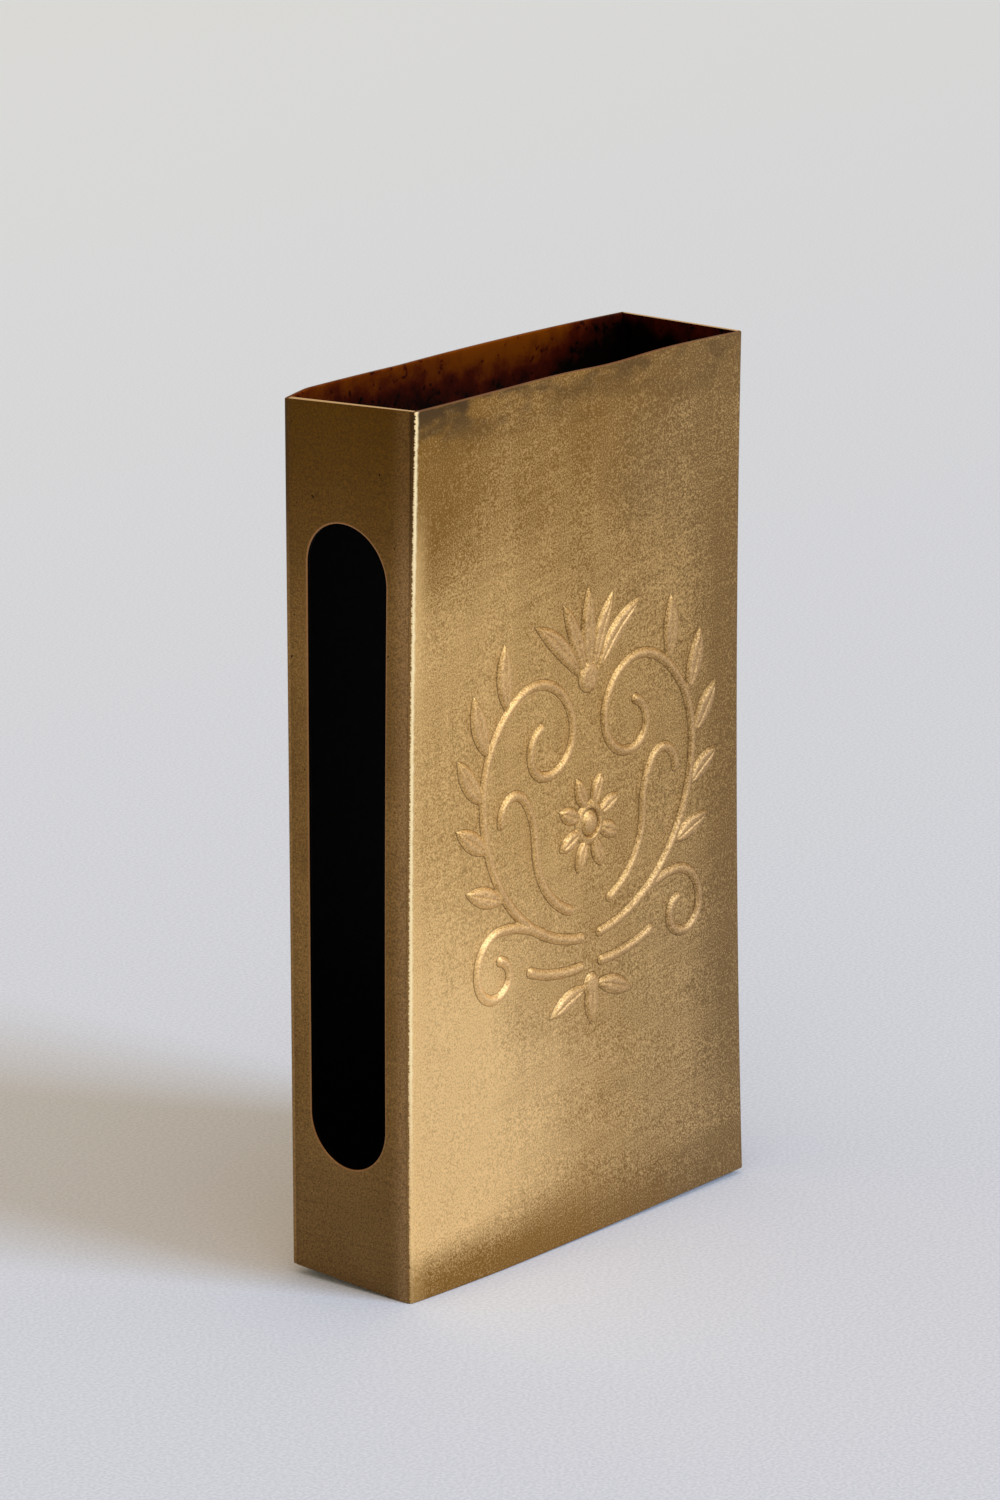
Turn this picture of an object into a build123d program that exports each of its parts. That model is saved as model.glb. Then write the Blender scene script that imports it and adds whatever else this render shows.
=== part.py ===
from build123d import *
import os
from math import asin, cos, degrees, radians, sin, sqrt

# Brass holder for a household matchbox: a flat sleeve of thin sheet, open at both ends,
# standing on one rim. The two broad plates overlap the edges of the two narrow strips, and
# solder fills the inner corners. Each strip has a long round-ended slot that bares the
# striking surface of the box inside. The front plate is pressed in a little at mid-height,
# where it grips the box, and carries a symmetrical scroll ornament: flat pieces sawn from
# sheet, bevelled along their edges and soldered on, with their backs fitted to the bow.
#
# The origin is the centre of the lower rim, +Z is up, and the front faces -Y.

# Sizes of the sleeve, in millimetres.
sleeve_height = 112.0
sleeve_width = 67.0
sleeve_depth = 20.0
wall = 0.6
waist = 0.75
slot_width = 12.4
slot_length = 82.0
solder_leg = 0.5
solder_inset = 1.0

# Sizes of the ornament, in millimetres. It sits a little to the right of the middle.
ornament_shift = 2.0
ornament_margin = 4.5
relief = 0.55
bevel = 0.25
band_width = 1.5
boss_radius = 1.7
boss_rise = 0.15
boss_bevel = 0.4
petal_count = 8

# Places worked out from those sizes.
mid_height = sleeve_height / 2
half_width = sleeve_width / 2
inner_side = half_width - wall
inner_back = sleeve_depth / 2 - wall
bow_radius = (mid_height**2 + waist**2) / (2 * waist)
bow_centre_y = waist - sleeve_depth / 2 - bow_radius
waist_outside = bow_centre_y + bow_radius
waist_inside = waist_outside + wall
slot_centre_y = (waist_inside + inner_back) / 2
ornament_radius = half_width - ornament_shift - ornament_margin

# Scroll bands of one half, as shares of the ornament's radius: where a band starts, its
# heading in degrees, and the radius and turn of each tangent arc along it.
stem_shares = ((0.07, -0.62), 5, ((0.80, 85), (0.50, 62), (0.285, 100), (0.19, 120), (0.12, 150)))
volute_shares = ((0.36, -0.535), 30, ((0.62, -30), (0.175, -110), (0.12, -120), (0.08, -120)))
tendril_shares = ((0.15, -0.47), 20, ((0.40, 70), (0.36, -38), (0.10, -150)))
sprig_shares = ((0.08, -0.76), -2, ((1.0, 14), (0.8, 10)))

# Leaves, as shares of the ornament's radius: root, tip, and the swell of either side.
stem_leaves_shares = (
    ((0.64, -0.32), (0.93, -0.22), 0.055, 0.05),
    ((0.755, -0.07), (1.00, 0.09), 0.055, 0.05),
    ((0.80, 0.17), (0.99, 0.42), 0.05, 0.06),
    ((0.76, 0.38), (0.87, 0.70), 0.045, 0.07),
    ((0.62, 0.56), (0.64, 0.90), 0.045, 0.07),
)
crown_spike_shares = ((0.0, 0.62), (0.0, 1.06), 0.055, 0.055)
crown_leaves_shares = (
    ((0.03, 0.62), (0.20, 1.00), 0.07, 0.03),
    ((0.05, 0.61), (0.42, 0.93), 0.085, 0.02),
)
drop_spike_shares = ((0.0, -0.82), (0.0, -1.06), 0.05, 0.05)
drop_leaf_shares = ((0.03, -0.86), (0.32, -0.96), 0.06, 0.04)
petal_shares = ((0.07, 0.0), (0.25, 0.0), 0.045, 0.045)

# Round knots that the leaves spring from: the place of each, and its radius.
crown_knot_shares = ((0.0, 0.62), 0.08)
drop_knot_shares = ((0.0, -0.86), 0.06)
rosette_disc_shares = ((0.0, 0.0), 0.11)
rosette_drop_share = 0.08


def save(piece, name):
    """Label a finished piece and write it as a STEP file of that name."""
    piece.part.label = name
    export_step(piece.part, f"parts/{name}.step")


def bow_point(inset, z):
    """Point of the front plate's bow in the YZ plane, at height z, inset from its outside."""
    y = bow_centre_y + sqrt((bow_radius + inset) ** 2 - (z - mid_height) ** 2)
    return (y, z)


def bow_line(inset):
    """Draw the bow from the lower rim to the upper one, as one arc in the YZ plane."""
    ThreePointArc(bow_point(inset, 0), bow_point(inset, mid_height), bow_point(inset, sleeve_height))


def side_strip(inner_x):
    """Narrow strip between the plates, from inner_x to the right, with its round-ended slot."""
    with BuildPart() as strip:
        with BuildSketch(Plane.YZ.offset(inner_x)):
            with BuildLine():
                bow_line(wall)
                Polyline(
                    bow_point(wall, sleeve_height),
                    (inner_back, sleeve_height),
                    (inner_back, 0),
                    bow_point(wall, 0),
                )
            make_face()
            with Locations((slot_centre_y, mid_height)):
                SlotOverall(slot_length, slot_width, rotation=90, mode=Mode.SUBTRACT)
        extrude(amount=wall)
    return strip


def solder_section(side, root, direction):
    """Solder in the corner between a strip's inside and a broad plate's inside.

    side is -1 or 1 along X, root is the plate's inside along the section's second axis, and
    direction says which way along that axis the solder stands.
    """
    corner = Vector(side * inner_side, root)
    on_plate = corner - Vector(side * solder_leg, 0)
    on_strip = corner + Vector(0, direction * solder_leg)
    with BuildSketch(mode=Mode.PRIVATE) as section:
        with BuildLine():
            Polyline(on_plate, corner, on_strip, close=True)
        make_face()
    return section.sketch


def front_solder(side):
    """Solder seam that follows the bow, turned about the bow's axis from rim to rim."""
    half_turn = asin((mid_height - solder_inset) / (bow_radius + wall))
    start = Plane((0, bow_centre_y, mid_height), (1, 0, 0), (0, sin(half_turn), cos(half_turn)))
    with BuildPart() as seam:
        with BuildSketch(start):
            add(solder_section(side, bow_radius + wall, 1))
        revolve(axis=Axis(start.origin, (1, 0, 0)), revolution_arc=degrees(2 * half_turn))
    return seam


def back_solder(side):
    """Straight solder seam behind, from rim to rim."""
    with BuildPart() as seam:
        with BuildSketch(Plane.XY.offset(solder_inset)):
            add(solder_section(side, inner_back, -1))
        extrude(amount=sleeve_height - 2 * solder_inset)
    return seam


def ornament_point(share, side):
    """Point in the ornament's plane, mirrored to the left when side is -1."""
    return Vector(side * share[0] * ornament_radius, share[1] * ornament_radius)


def band(shares, side):
    """Outline of a band of even width with round ends, along a chain of tangent arcs."""
    start_share, heading, arc_shares = shares
    point = ornament_point(start_share, side)
    tangent = Vector(side * cos(radians(heading)), sin(radians(heading)))
    with BuildSketch(mode=Mode.PRIVATE) as outline:
        with Locations(point):
            Circle(band_width / 2)
        for radius_share, turn in arc_shares:
            with BuildLine() as path:
                arc = JernArc(point, tangent, radius_share * ornament_radius, side * turn)
            trace(path.line, band_width)
            point = arc @ 1
            tangent = arc % 1
        with Locations(point):
            Circle(band_width / 2)
    return outline.sketch


def leaf(shares, side):
    """Outline of a pointed leaf: two arcs that swell out between its root and its tip."""
    root_share, tip_share, left_share, right_share = shares
    root = ornament_point(root_share, side)
    tip = ornament_point(tip_share, side)
    with BuildSketch(mode=Mode.PRIVATE) as outline:
        with BuildLine():
            SagittaArc(root, tip, side * left_share * ornament_radius)
            SagittaArc(tip, root, side * right_share * ornament_radius)
        make_face()
    return outline.sketch


def knot(shares):
    """Outline of a round knot."""
    centre_share, radius_share = shares
    with BuildSketch(mode=Mode.PRIVATE) as outline:
        with Locations(ornament_point(centre_share, 1)):
            Circle(radius_share * ornament_radius)
    return outline.sketch


def bevelled(outline, plane):
    """An outline raised from inside the plate to the ornament's height, its rim bevelled."""
    with BuildPart(mode=Mode.PRIVATE) as blank:
        with BuildSketch(plane):
            add(outline)
        extrude(amount=wall / 2 + relief)
        chamfer(blank.faces().sort_by(Axis.Y)[0].edges(), bevel)
    return blank.part


def seated(outlines):
    """A sawn piece joined from bevelled outlines, its back cut to the plate that it sits on."""
    with BuildPart() as piece:
        for outline in outlines:
            add(bevelled(outline, ornament_plane))
        add(front_plate.part, mode=Mode.SUBTRACT)
    return piece


os.makedirs("parts", exist_ok=True)

# Front plate: a strip of sheet bent to the bow.
with BuildPart() as front_plate:
    with BuildSketch(Plane.YZ.offset(-half_width)):
        with BuildLine():
            bow_line(0)
            Line(bow_point(0, sleeve_height), bow_point(wall, sleeve_height))
            bow_line(wall)
            Line(bow_point(wall, 0), bow_point(0, 0))
        make_face()
    extrude(amount=sleeve_width)
save(front_plate, "front_plate")

# Back plate: flat.
with BuildPart() as back_plate:
    with BuildSketch(Plane.XZ.offset(-inner_back)):
        with Locations((0, mid_height)):
            Rectangle(sleeve_width, sleeve_height)
    extrude(amount=-wall)
save(back_plate, "back_plate")

# The two slotted strips.
save(side_strip(-half_width), "left_side_strip")
save(side_strip(inner_side), "right_side_strip")

# Solder in the four inner corners.
for side, side_name in ((-1, "left"), (1, "right")):
    save(front_solder(side), f"solder_front_{side_name}")
    save(back_solder(side), f"solder_back_{side_name}")

# The ornament's pieces start from a plane inside the plate's thickness and face the front.
ornament_plane = Plane((ornament_shift, waist_inside - wall / 2, mid_height), (1, 0, 0), (0, -1, 0))

# Each half has a leafy scroll with a volute at its foot, a hooked tendril inside it and a sprig.
for side, side_name in ((-1, "left"), (1, "right")):
    scroll_outlines = [band(stem_shares, side), band(volute_shares, side)]
    scroll_outlines += [leaf(shares, side) for shares in stem_leaves_shares]
    save(seated(scroll_outlines), f"{side_name}_scroll")
    save(seated([band(tendril_shares, side)]), f"{side_name}_tendril")
    save(seated([band(sprig_shares, side)]), f"{side_name}_sprig")

# Crown of five leaves above the scrolls, and a drop of three below them.
crown_outlines = [knot(crown_knot_shares), leaf(crown_spike_shares, 1)]
crown_outlines += [leaf(shares, side) for shares in crown_leaves_shares for side in (-1, 1)]
save(seated(crown_outlines), "crown")
drop_outlines = [knot(drop_knot_shares), leaf(drop_spike_shares, 1)]
drop_outlines += [leaf(drop_leaf_shares, side) for side in (-1, 1)]
save(seated(drop_outlines), "drop")

# Rosette: petals round a pierced disc, and a bevelled boss that fills the hole.
rosette_drop = rosette_drop_share * ornament_radius
rosette_plane = Plane(ornament_plane.origin - Vector(0, 0, rosette_drop), (1, 0, 0), (0, -1, 0))
with BuildPart() as boss:
    with BuildSketch(rosette_plane):
        Circle(boss_radius)
    extrude(amount=wall / 2 + relief + boss_rise)
    chamfer(boss.faces().sort_by(Axis.Y)[0].edges(), boss_bevel)
    add(front_plate.part, mode=Mode.SUBTRACT)
save(boss, "rosette_boss")

petal = leaf(petal_shares, 1)
with BuildPart() as rosette:
    add(bevelled(knot(rosette_disc_shares), rosette_plane))
    for place in range(petal_count):
        turned_petal = petal.rotate(Axis.Z, (place + 1 / 2) * 360 / petal_count)
        add(bevelled(turned_petal, rosette_plane))
    with BuildSketch(rosette_plane):
        Circle(boss_radius)
    extrude(amount=wall / 2 + relief, mode=Mode.SUBTRACT)
    add(front_plate.part, mode=Mode.SUBTRACT)
save(rosette, "rosette")
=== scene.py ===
# %% [markdown]
# # A brass matchbox holder
#
# The real object is a flat sleeve of thin sheet brass that a matchbox slides into. Two broad
# plates and two narrow strips are soldered at the corners, each strip has a long slot for
# striking a match on the box inside, and a low scroll ornament sits on the front.
#
# This lesson dresses the measured model: it keeps the model's sizes and gives each piece the
# small unevenness, soft edges and old satin finish that hand-worked brass has. We start by
# loading the model and reading its sizes, so that nothing below is typed twice.

# %% Load the measured model
import bmesh
import bpy
import numpy as np
from math import cos, radians, sin
from mathutils import Matrix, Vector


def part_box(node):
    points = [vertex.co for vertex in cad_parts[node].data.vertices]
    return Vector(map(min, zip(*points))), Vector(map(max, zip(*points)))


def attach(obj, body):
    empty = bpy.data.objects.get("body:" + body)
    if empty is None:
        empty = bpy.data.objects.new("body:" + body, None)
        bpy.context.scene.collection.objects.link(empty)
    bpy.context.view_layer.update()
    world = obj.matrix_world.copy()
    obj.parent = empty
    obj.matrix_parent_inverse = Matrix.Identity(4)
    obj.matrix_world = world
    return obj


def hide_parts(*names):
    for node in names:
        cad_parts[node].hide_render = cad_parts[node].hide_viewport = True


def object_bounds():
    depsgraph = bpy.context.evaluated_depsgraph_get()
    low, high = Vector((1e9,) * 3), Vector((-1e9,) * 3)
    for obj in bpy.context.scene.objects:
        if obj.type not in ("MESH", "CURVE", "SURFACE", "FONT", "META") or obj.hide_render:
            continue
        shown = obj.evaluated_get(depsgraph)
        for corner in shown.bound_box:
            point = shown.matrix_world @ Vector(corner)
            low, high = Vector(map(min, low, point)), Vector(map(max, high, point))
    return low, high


mm = 0.001
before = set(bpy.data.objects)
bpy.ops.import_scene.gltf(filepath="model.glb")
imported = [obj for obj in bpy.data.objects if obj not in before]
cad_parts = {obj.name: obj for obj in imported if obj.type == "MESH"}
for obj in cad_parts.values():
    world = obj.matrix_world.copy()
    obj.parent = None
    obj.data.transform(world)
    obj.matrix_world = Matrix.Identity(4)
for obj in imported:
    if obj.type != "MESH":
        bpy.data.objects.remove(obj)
cad_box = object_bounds()
back_low, back_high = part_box("back_plate")
width = back_high.x - back_low.x
height = back_high.z - back_low.z
depth = cad_box[1].y - cad_box[0].y
wall = back_high.y - back_low.y
sizes = (width, depth, height, wall)
print("width, depth, height, wall in mm:", [round(v / mm, 2) for v in sizes])

# %% [markdown]
# ## The camera
#
# A small object looks natural through a long lens from a little way off, which keeps its
# upright edges almost parallel. The camera could be pushed about by hand until the picture
# looks right. Here it is placed by two angles round the sleeve, a small roll and a distance,
# because such numbers are easy to correct one by one. Choosing it first means that every
# later piece is judged in its view.

# %% Place the camera
view_azimuth = radians(-50.88)
view_elevation = radians(14.76)
view_roll = radians(-0.11)
view_distance = 840 * mm
aside = 2.75 * mm
below = -5.94 * mm
sensor_width = 36
lens_length = 160.9
far_clip = 20

towards = np.array([sin(view_azimuth) * cos(view_elevation),
                    -cos(view_azimuth) * cos(view_elevation),
                    sin(view_elevation)])
level = np.cross(-towards, [0, 0, 1])
level /= np.linalg.norm(level)
upward = np.cross(level, -towards)
right = cos(view_roll) * level + sin(view_roll) * upward
up = cos(view_roll) * upward - sin(view_roll) * level
middle = np.array([0, 0, height / 2])
stand = np.eye(4)
stand[:3, 0] = right
stand[:3, 1] = up
stand[:3, 2] = towards
stand[:3, 3] = middle + view_distance * towards - aside * right - below * up
camera = bpy.data.objects.new("camera", bpy.data.cameras.new("camera"))
camera.data.sensor_width = sensor_width
camera.data.lens = lens_length
camera.data.clip_end = far_clip
camera.matrix_world = Matrix(stand.tolist())
bpy.context.scene.collection.objects.link(camera)
bpy.context.scene.camera = camera
print("camera stands at", stand[:3, 3].round(3))

# %% [markdown]
# ## The hand-made shape
#
# A sleeve bent and soldered by hand isn't true. Its front is pressed in at mid-height, its
# rims wander by about a millimetre, and its corners aren't quite square. Each piece could be
# bent by itself, but then the seams would open. Instead one smooth rule moves every point of
# every piece: u runs across the sleeve from -1 to 1, w runs up it from 0 to 1, and s runs from
# 0 at the front to 1 at the back, and each shift is a blend of its corner values.

# %% How far the sleeve is out of true
press_left = 0.48 * mm
press_right = 0.80 * mm
rim_dish = 0.73 * mm
rim_dish_slope = 0.91 * mm
foot_bulge = 0.57 * mm
foot_bulge_slope = 0.58 * mm
front_rim_crown = 0.03 * mm
front_foot_sag = 0.15 * mm
back_rim_crown = 0.53 * mm
back_rim_bulge = 0.12 * mm
back_left_lean = 0.15 * mm

# The dip of the front rim and the rise of the back one: size, and place and spread in u. Both
# fade downwards with a power of w.
rim_dip = 0.36 * mm
dip_place = 0.22
dip_spread = 0.24
corner_rise = 0.5 * mm
rise_onset = 0.12
rise_end = -0.35
rise_spread = 0.6
rim_power = 8

# Shifts of the four corners in millimetres: foot left, foot right, rim left, rim right.
front_sideways = (0.3, 0, 1.2, -0.45)
front_inward = (0.8, 0, 0, 0.78)
front_upward = (0, 0.7, -0.12, -0.5)
back_sideways = (0.25, 0, 0.2, -0.64)
back_upward = (1.3, 0, -0.78, -0.31)
print("the front is pressed in by", press_left / mm, "to", press_right / mm, "mm")


# %% One rule for the whole sleeve
def blend(low, high, share):
    """Straight mix of two values: low where share is 0, high where it is 1."""
    return low + (high - low) * share


def four_corners(across, w, foot_left, foot_right, rim_left, rim_right):
    """Mix the four corner values of a plate across it and up it, in millimetres."""
    foot = blend(foot_left, foot_right, across)
    rim = blend(rim_left, rim_right, across)
    return blend(foot, rim, w) * mm


def hand_shape(points):
    """Move true points to where the hand-made sleeve has them.

    Front shift: corner shifts mixed across and up, plus a bow of height 4w(1-w), plus a dish
    of (1-u^2) that fades with w^2 from the upper rim and with (1-w)^2 from the lower one.
    Sideways and upright shifts are corner values mixed the same way. The front rim also dips in
    a bell curve right of its middle, and the back rim rises sharply beside its left corner.
    """
    x, y, z = points.T
    u = x / (width / 2)
    w = z / height
    across = (1 + u) / 2
    s = (y + depth / 2) / depth
    crown = 1 - u * u
    bow = blend(press_left, press_right, across) * 4 * w * (1 - w)
    rim_bend = (rim_dish + rim_dish_slope * u) * w**2
    foot_bend = (foot_bulge - foot_bulge_slope * u) * (1 - w)**2
    front_x = four_corners(across, w, *front_sideways)
    back_x = four_corners(across, w, *back_sideways)
    front_y = four_corners(across, w, *front_inward) + bow + crown * (rim_bend - foot_bend)
    back_y = crown * w * back_rim_bulge - back_left_lean * (1 - across)
    dip = rim_dip * np.exp(-((u - dip_place) / dip_spread) ** 2) * w**rim_power
    climb = np.clip((1 + u) / rise_onset, 0, 1) * np.clip((rise_end - u) / rise_spread, 0, 1)
    front_crown = crown * (front_rim_crown * w - front_foot_sag * (1 - w))
    front_z = four_corners(across, w, *front_upward) + front_crown - dip
    back_crown = crown * back_rim_crown * w
    back_z = four_corners(across, w, *back_upward) + back_crown + corner_rise * climb * w**rim_power
    shift = [blend(front_x, back_x, s), blend(front_y, back_y, s), blend(front_z, back_z, s)]
    return np.clip(points + np.column_stack(shift), cad_box[0], cad_box[1])


true_corner = np.array([[-width / 2, -depth / 2, height]])
moved = hand_shape(true_corner) - true_corner
print("upper near corner moved by mm:", (moved[0] / mm).round(2))

# %% [markdown]
# ## Putting a computed surface into the scene
#
# Every piece below is a set of points and faces worked out by a formula. They could be drawn
# one by one in edit mode, but a formula can be corrected and run again. One helper turns the
# arrays into a mesh, shades it smooth, hides the model piece it stands for, hangs it under the
# root body, and stores any value that its finish needs on each point.

# %% From arrays to a piece
def add_piece(name, points, faces, stands_for, slot, **values):
    """Make a mesh from whole arrays; each extra value becomes a named attribute of the points."""
    mesh = bpy.data.meshes.new(name)
    mesh.from_pydata(points.tolist(), [], faces.tolist())
    for key, value in values.items():
        attribute = mesh.attributes.new(key, "FLOAT", "POINT")
        attribute.data.foreach_set("value", value.astype(np.float32))
    mesh.polygons.foreach_set("use_smooth", np.ones(len(mesh.polygons), bool))
    skin = bmesh.new()
    skin.from_mesh(mesh)
    bmesh.ops.recalc_face_normals(skin, faces=skin.faces)
    skin.to_mesh(mesh)
    skin.free()
    piece = bpy.data.objects.new(name, mesh)
    bpy.context.scene.collection.objects.link(piece)
    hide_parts(*stands_for)
    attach(piece, "root")
    print(name, len(mesh.vertices), "points", len(mesh.polygons), "faces")
    return piece


def grid_faces(rows, columns, wrap_rows=False, wrap_columns=False):
    """Quads between neighbouring rows and columns of a grid, closed into a ring where asked."""
    row = np.arange(rows if wrap_rows else rows - 1)[:, None]
    column = np.arange(columns if wrap_columns else columns - 1)[None, :]
    next_row = (row + 1) % rows
    next_column = (column + 1) % columns
    corners = [row * columns + column, row * columns + next_column,
               next_row * columns + next_column, next_row * columns + column]
    return np.stack(np.broadcast_arrays(*corners), -1).reshape(-1, 4)


def tube_faces(rows, count):
    """Faces of a stack of closed loops, with a lid at either end.

    A lid is a strip of quads that joins each point of a loop to its partner on the other side.
    """
    there = np.arange(count // 2 - 1)
    lid = np.stack([there, there + 1, count - 2 - there, count - 1 - there], -1)
    round_it = grid_faces(rows, count, wrap_columns=True)
    return np.concatenate([round_it, lid, lid + (rows - 1) * count])


print("a tube of 3 loops of 8 points has", len(tube_faces(3, 8)), "faces")

# %% [markdown]
# ## The broad plates
#
# Sheet metal that has been filed and rubbed for years has no sharp edge: a tiny round catches
# the light along each rim. A box with a Bevel modifier would do, but its long faces couldn't be
# bent. So the plate is one closed skin of small faces: a thin rectangle with rounded corners,
# carried up the height, that draws in along a quarter circle at either end.

# %% Outline of a thin plate
quarter = np.radians([0, 22, 45, 68, 90])
least_radius = 0.02 * mm
plate_steps = 110


def plate_section(front_radius, back_radius, inset):
    """Loop round a thin rectangle: quarter circles at its corners, joined by straight sides.

    Each side moves in by inset, and no radius falls below the least one.
    """
    low_radius = max(front_radius - inset, least_radius)
    high_radius = max(back_radius - inset, least_radius)
    arc = np.stack([np.cos(quarter), np.sin(quarter)], -1)
    turned = np.stack([-arc[:, 1], arc[:, 0]], -1)
    half = np.array([width / 2 - inset, wall / 2 - inset])
    low = half - low_radius
    high = half - high_radius
    low_left = -arc * low_radius - low
    low_right = -turned * low_radius + low * [1, -1]
    high_right = arc * high_radius + high
    high_left = turned * high_radius + high * [-1, 1]
    along = np.linspace(0, 1, plate_steps + 2)[1:-1, None]
    front_side = blend(low_left[-1], low_right[0], along)
    back_side = blend(high_right[-1], high_left[0], along)
    return np.concatenate([low_left, front_side, low_right, high_right, back_side, high_left])


print("a plate's outline has", len(plate_section(least_radius, least_radius, 0)), "points")

# %% Front and back plate
plate_rises = 110
rim_round = 0.15 * mm
rim_angle = np.radians([80, 60, 40, 20, 0])
rim_rows = 3
roll_width = 2 * mm


def plate(centre_y, front_radius, back_radius, roll=0.0):
    """Plate skin: the section at heights that follow the rim's round, (1 - sin a) of its radius.

    The upright margins roll back a little: roll times the square of how far into the last
    2 mm a point lies. The values say for each point how deep in the front sheet it lies from
    its outer face, how far it is from the left edge, and whether it is inside or on a rim. On
    the back plate every point counts as deep.
    """
    insets = rim_round * (1 - np.cos(rim_angle))
    ends = rim_round * (1 - np.sin(rim_angle))
    between = np.linspace(rim_round, height - rim_round, plate_rises)[1:-1]
    z = np.concatenate([ends, between, (height - ends)[::-1]])
    inset = np.concatenate([insets, np.zeros(plate_rises - 2), insets[::-1]])
    loops = np.array([plate_section(front_radius, back_radius, i) for i in inset])
    rows, count = loops.shape[:2]
    points = np.dstack([loops, np.broadcast_to(z[:, None], (rows, count))]).reshape(-1, 3)
    sheet_depth = points[:, 1] / wall + 0.5
    from_left = (points[:, 0] + width / 2) / mm
    margin = np.clip((abs(points[:, 0]) - width / 2) / roll_width + 1, 0, 1)
    points[:, 1] += centre_y - np.sign(centre_y) * roll * margin**2
    spot = np.arange(count)
    arc = len(quarter)
    if centre_y < 0:
        inner_face = (spot >= plate_steps + 3 * arc - 1) & (spot <= count - arc)
    else:
        inner_face = (spot >= arc - 1) & (spot <= plate_steps + arc)
        sheet_depth = np.ones(len(points))
    row = np.arange(rows)
    near_rim = np.minimum(row, row[::-1]) < rim_rows
    values = dict(sheet_depth=sheet_depth, from_left=from_left,
                  inside=np.tile(inner_face, rows), rim=np.repeat(near_rim, count))
    return points, tube_faces(rows, count), values


front_middle = wall / 2 - depth / 2
front_round = 0.4 * mm
back_round = 0.2 * mm
margin_roll = 0.08 * mm
points, faces, values = plate(front_middle, front_round, least_radius, margin_roll)
front_plate = add_piece("front_plate_brass", hand_shape(points), faces, ["front_plate"],
                        "brass_sheet", **values)
points, faces, values = plate(-front_middle, least_radius, back_round)
back_plate = add_piece("back_plate_brass", hand_shape(points), faces, ["back_plate"],
                       "brass_sheet", **values)

# %% [markdown]
# ## The slotted strips
#
# Each narrow side is a strip with a long window. A Boolean cut would leave ragged triangles
# round it, so the strip is made as a ring instead: one direction of the grid goes round the
# window, and the other goes from the window's edge out to the strip's edge, over the rounded
# rim and back along the inside, like a very flat tyre.

# %% Rays from the window to the strip's edge
window_half = 6.2 * mm
window_reach = 41 * mm - window_half
window_y = 0.4 * mm
window_skew = 0.15
end_rays = 18
side_rays = 70


def window_rays():
    """Points round the window and their partners on the strip's edge, in the plane of Y and Z.

    At a round end both lie on one ray from the end's centre, with a ray through each corner of
    the strip. Along the sides both have the same height. The upper end was filed a little
    askew: its points rise by the skew times their Y, more and more towards the top.
    """
    reach_y = np.array([depth / 2 - wall - window_y, depth / 2 - wall + window_y])
    reach_z = height / 2 - window_reach
    first, last = np.arctan2(reach_z, reach_y) * [1, -1] + [0, np.pi]
    angle = np.concatenate([np.linspace(0, first, end_rays),
                            np.linspace(first, last, end_rays)[1:],
                            np.linspace(last, np.pi, end_rays)[1:]])
    ray = np.stack([np.cos(angle), np.sin(angle)], -1)
    side = np.where(ray[:, 0] > 0, reach_y[0], reach_y[1])
    stretch = np.minimum(side / np.abs(ray[:, 0]), reach_z / np.maximum(ray[:, 1], 1e-9))
    end_centre = np.array([0, window_reach])
    fall = np.linspace(window_reach, -window_reach, side_rays)[1:-1]
    ones = np.ones_like(fall)
    inner_end = ray * window_half + end_centre
    outer_end = ray * stretch[:, None] + end_centre
    inner = np.concatenate([inner_end, np.stack([-window_half * ones, fall], -1),
                            inner_end[::-1] * [1, -1], np.stack([window_half * ones, -fall], -1)])
    outer = np.concatenate([outer_end, np.stack([-reach_y[1] * ones, fall], -1),
                            outer_end[::-1] * [1, -1], np.stack([reach_y[0] * ones, -fall], -1)])
    towards_top = np.clip(inner[:, 1] / window_reach * 2 - 1, 0, 1)
    inner[:, 1] += window_skew * inner[:, 0] * towards_top**2
    return inner + [window_y, height / 2], outer + [window_y, height / 2]


print("rays round the window:", len(window_rays()[0]))

# %% The two strips
lanes = 10
window_round = 0.12 * mm
tightness = 0.1
lip_width = 0.3 * mm
rim_width = 0.1 * mm


def strip(outside_x, inward):
    """Strip skin: a flat loop with rounded edges, from the window out and back, at every ray.

    The window's edges are rounded by their radius, and the outer ones, which are soldered
    flush, by a tenth of it. The values say which points are inside, on the window's lip and on
    the rim.
    """
    inner, outer = window_rays()
    lane = np.linspace(0, 1, lanes)[1:-1]
    none = np.zeros_like(lane)
    curl = window_round * (1 - np.cos(quarter))
    uncurl = window_round * (1 - np.sin(quarter))
    zero = np.zeros_like(curl)
    share = np.concatenate([zero, [0], lane, zero + 1, zero + 1, lane[::-1], zero])
    pull = np.concatenate([curl, [lip_width], none, -tightness * uncurl, -tightness * curl,
                           none, uncurl])
    sunk = np.concatenate([uncurl, [0], none, tightness * curl, wall - tightness * uncurl,
                           none + wall, wall - curl])
    out = outer - inner
    out_unit = out / np.linalg.norm(out, axis=1, keepdims=True)
    flat = inner[:, None] + out[:, None] * share[:, None] + out_unit[:, None] * pull[:, None]
    grid = flat.shape[:2]
    x = np.broadcast_to(outside_x + inward * sunk, grid)
    points = np.dstack([x, flat]).reshape(-1, 3)
    faces = grid_faces(*grid, wrap_rows=True, wrap_columns=True)
    skin_end = 0.9 * window_round
    on_lip = (share == 0) & (pull < lip_width) & (sunk < skin_end)
    cut = (share == 1) & (sunk > tightness * window_round / 2) & (sunk < wall)
    values = dict(inside=np.broadcast_to(sunk > skin_end, grid).ravel(),
                  lip=np.broadcast_to(on_lip, grid).ravel(),
                  rim=(cut & (outer[:, 1:] > height - rim_width)).ravel())
    return points, faces, values


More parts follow.
